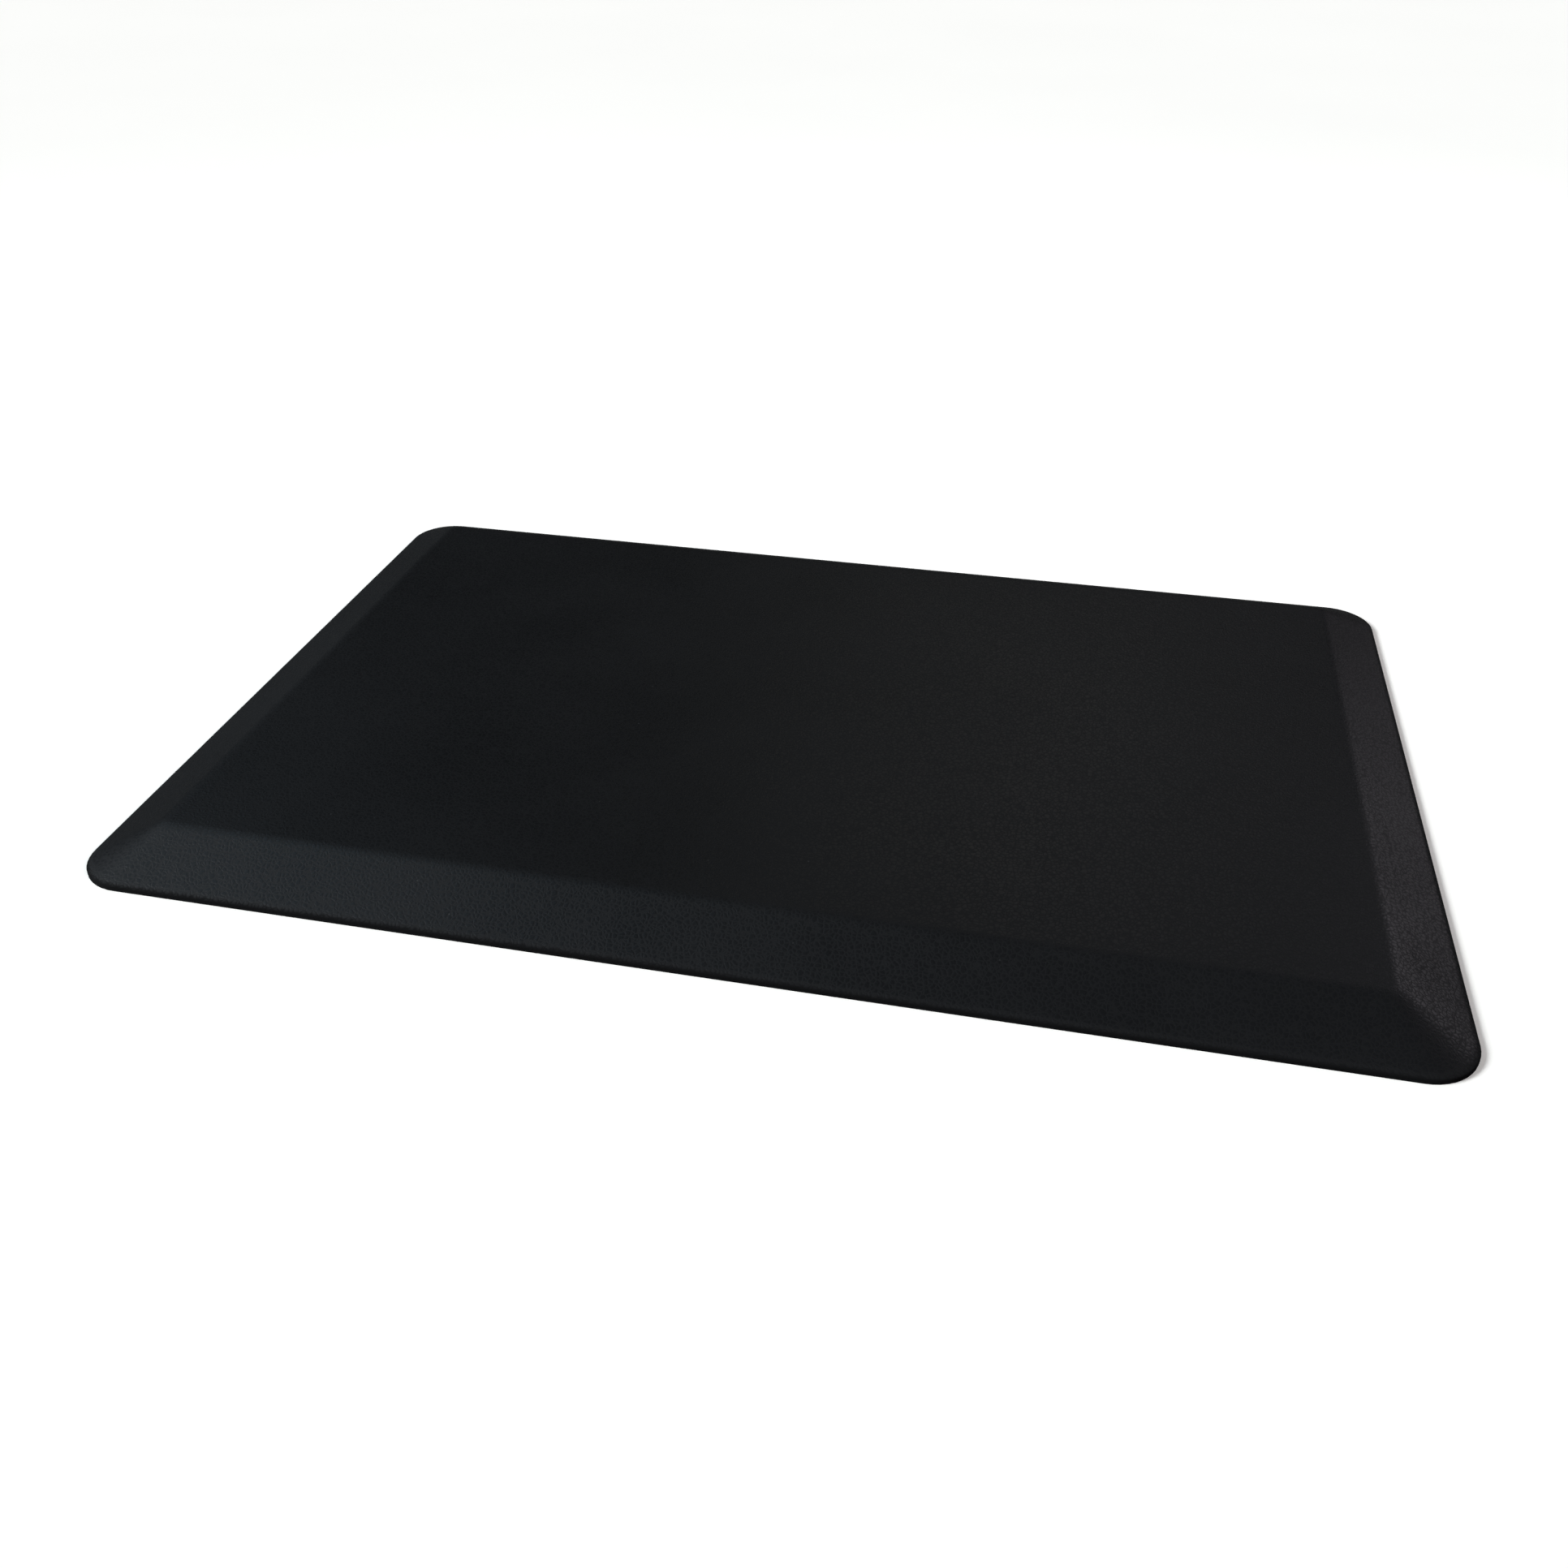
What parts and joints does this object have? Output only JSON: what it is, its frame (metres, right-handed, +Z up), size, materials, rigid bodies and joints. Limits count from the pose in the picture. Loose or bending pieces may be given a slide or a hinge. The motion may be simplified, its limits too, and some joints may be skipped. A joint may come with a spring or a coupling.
{
  "type": "anti fatigue mat",
  "caption": "Rectangular cushioned standing mat: flat grained top, wide sloped border on every side, rounded corners, foam core and a thin non-slip base.",
  "frame": {"origin": "centre of the underside, on the floor", "axes": "+X along the long side, +Y along the short side away from the front edge, +Z up through the standing face"},
  "size_m": [0.9144, 0.6096, 0.0254],
  "materials": {
    "cover_skin": "matte",
    "adhesive_film": "satin",
    "cushion_foam": "matte",
    "base_rubber": "matte"
  },
  "bodies": {
    "root": {"top_cover": "cover_skin", "cover_bond_film": "adhesive_film", "foam_core": "cushion_foam", "base_bond_film": "adhesive_film", "base_sheet": "base_rubber"}
  },
  "joints": []
}
